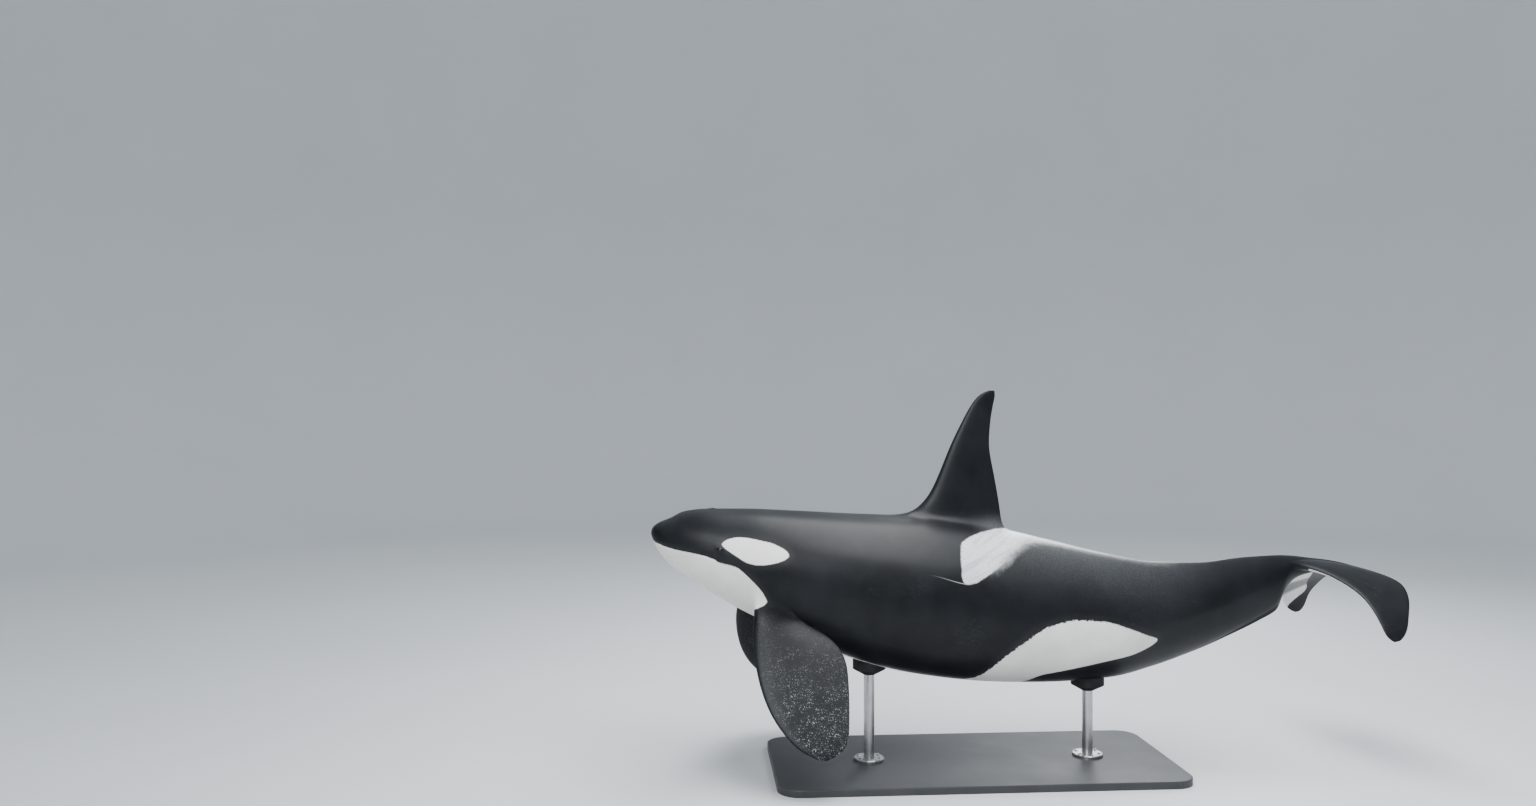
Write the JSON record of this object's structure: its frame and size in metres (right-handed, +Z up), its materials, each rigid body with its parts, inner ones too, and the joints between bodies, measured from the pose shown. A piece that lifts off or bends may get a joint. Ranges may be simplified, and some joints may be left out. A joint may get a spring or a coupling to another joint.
{
  "type": "life-size model of an orca on a display stand",
  "caption": "Life-size still model of a young male orca swimming level with its tail arched and flukes curling down, held by rods on a flat base.",
  "frame": {"origin": "on the floor, under the middle of the whole part's bounding box", "axes": "+Z up, head towards -Y, tail towards +Y, the animal's left side towards +X; its middle plane is at about x = 0.092 because the right flipper spreads wider"},
  "size_m": [2.0174, 6.403, 3.208],
  "materials": {
    "skin_black": "smooth wet-looking black skin",
    "skin_white": "smooth white skin",
    "eye_glass": "polished dark eye",
    "board_paint": "satin dark grey paint",
    "rod_steel": "brushed",
    "pad_rubber": "matt black pad"
  },
  "bodies": {
    "root": {"head": "skin_black", "lower_jaw": "skin_white", "trunk_front": "skin_black", "trunk_middle": "skin_black", "trunk_rear": "skin_black", "tail_stock": "skin_black", "dorsal_fin": "skin_black", "flipper_left": "skin_black", "flipper_right": "skin_black", "fluke_left": "skin_black", "fluke_right": "skin_black", "eye_left": "eye_glass", "eye_right": "eye_glass", "stand_base": "board_paint", "stand_foot_front": "rod_steel", "stand_foot_rear": "rod_steel", "stand_rod_front": "rod_steel", "stand_rod_rear": "rod_steel", "stand_cradle_front": "pad_rubber", "stand_cradle_rear": "pad_rubber"}
  },
  "joints": []
}
